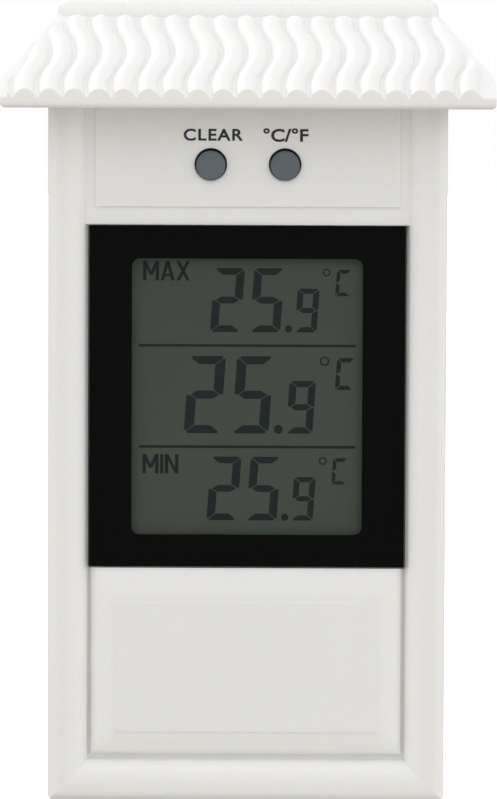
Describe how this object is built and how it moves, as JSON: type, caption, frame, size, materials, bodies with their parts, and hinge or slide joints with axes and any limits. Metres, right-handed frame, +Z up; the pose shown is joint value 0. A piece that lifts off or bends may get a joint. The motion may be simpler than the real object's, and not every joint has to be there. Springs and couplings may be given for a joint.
{
  "type": "maximum minimum thermometer",
  "caption": "Upright greenhouse thermometer showing current, highest and lowest temperature in a dark-bordered window, with round push buttons and a pitched tile roof over a framed case.",
  "frame": {"origin": "on the surface the case stands on, under the middle of the bounding box, midway between the front eave and the back face", "axes": "-Y is the front with the display, +X is to the right seen from the front, +Z is up along the case"},
  "size_m": [0.0794, 0.032, 0.13],
  "materials": {
    "white_abs": "satin, moulded with a fine spark texture",
    "clear_acrylic": "polished",
    "black_ink": "printed behind the lens",
    "clear_tape": "adhesive film",
    "polariser_film": "anti-glare",
    "display_glass": "polished",
    "reflector_film": "diffuse",
    "zebra_rubber": "moulded",
    "grey_rubber": "matt moulded",
    "board_laminate": "solder mask",
    "chip_epoxy": "potted",
    "tin_plate": "bright",
    "ceramic": "fired",
    "bead_epoxy": "dipped",
    "black_nylon": "moulded",
    "spring_steel": "nickel plated",
    "screw_steel": "zinc plated",
    "cell_jacket": "printed sleeve",
    "red_insulation": "extruded",
    "black_insulation": "extruded"
  },
  "bodies": {
    "case": {"roof": "white_abs", "roof_screws": "screw_steel", "front_case": "white_abs", "window_lens": "clear_acrylic", "window_mask": "black_ink", "window_tape": "clear_tape", "lcd_front_polariser": "polariser_film", "lcd_front_glass": "display_glass", "lcd_rear_glass": "display_glass", "lcd_reflector": "reflector_film", "zebra_strip_upper": "zebra_rubber", "zebra_strip_lower": "zebra_rubber", "lcd_holder": "white_abs", "circuit_board": "board_laminate", "chip_blob": "chip_epoxy", "crystal": "tin_plate", "capacitors": "ceramic", "thermistor": "bead_epoxy", "clear_switch": "black_nylon", "clear_switch_dome": "spring_steel", "unit_switch": "black_nylon", "unit_switch_dome": "spring_steel", "board_screws": "screw_steel", "rear_case": "white_abs", "case_screws": "screw_steel", "battery_cell": "cell_jacket", "contact_plate": "spring_steel", "contact_base": "spring_steel", "contact_spring": "spring_steel", "wire_positive": "red_insulation", "wire_negative": "black_insulation"},
    "clear_button": {"clear_button": "grey_rubber", "clear_switch_plunger": "black_nylon"},
    "unit_button": {"unit_button": "grey_rubber", "unit_switch_plunger": "black_nylon"},
    "battery_door": {"battery_door": "white_abs"}
  },
  "joints": [
    {"name": "clear_button_press", "type": "slide", "parent": "case", "child": "clear_button", "axis": [0, 1, 0], "range_m": [0, 0.0006], "stiffness_N_per_m": 300},
    {"name": "unit_button_press", "type": "slide", "parent": "case", "child": "unit_button", "axis": [0, 1, 0], "range_m": [0, 0.0006], "stiffness_N_per_m": 300},
    {"name": "battery_door_slide", "type": "slide", "parent": "case", "child": "battery_door", "axis": [0, 0, -1], "range_m": [0, 0.024]}
  ]
}
